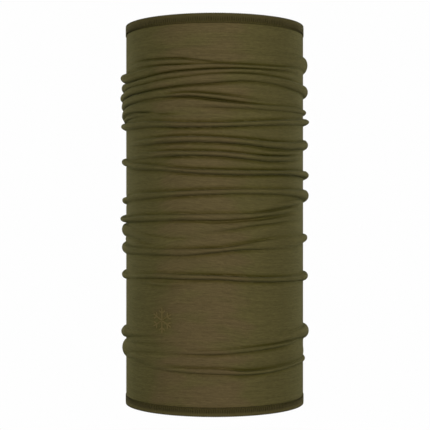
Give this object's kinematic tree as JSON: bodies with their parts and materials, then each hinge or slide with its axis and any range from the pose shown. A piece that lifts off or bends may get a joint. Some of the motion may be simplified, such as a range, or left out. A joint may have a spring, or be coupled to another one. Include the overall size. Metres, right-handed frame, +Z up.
{
  "type": "neck gaiter",
  "caption": "Seamless knitted tube worn round the neck, gathered into soft folds, open at both ends, with overlocked rims.",
  "frame": {"origin": "centre of the bottom rim, on the plane that the tube stands on", "axes": "+Z up the tube's own axis, -Y the front with the emblem, +X to the right of the front"},
  "size_m": [0.158, 0.1578, 0.318],
  "materials": {
    "merino_knit": "matt heathered olive jersey",
    "overlock_thread": "matt dark olive textured thread",
    "needle_thread": "slightly shiny dark olive thread",
    "transfer_print": "thin satin print, slightly lighter than the knit",
    "label_satin": "woven satin tape"
  },
  "bodies": {
    "lower_tube": {"knit_tube": "merino_knit", "bottom_upper_looper_thread": "overlock_thread", "bottom_lower_looper_thread": "overlock_thread", "bottom_needle_thread": "needle_thread", "emblem_print": "transfer_print"},
    "upper_rim": {"top_upper_looper_thread": "overlock_thread", "top_lower_looper_thread": "overlock_thread", "top_needle_thread": "needle_thread", "care_label_stitches": "needle_thread"},
    "care_label": {"care_label": "label_satin"}
  },
  "joints": [
    {"name": "gather_slide", "type": "slide", "parent": "lower_tube", "child": "upper_rim", "axis": [0, 0, 1], "range_m": [-0.15, 0.13], "deforming": ["knit_tube"]},
    {"name": "label_hinge", "type": "hinge", "parent": "upper_rim", "child": "care_label", "pos_m": [0, 0.0727, 0.3085], "axis": [-1, 0, 0], "range_deg": [0, 110]}
  ]
}
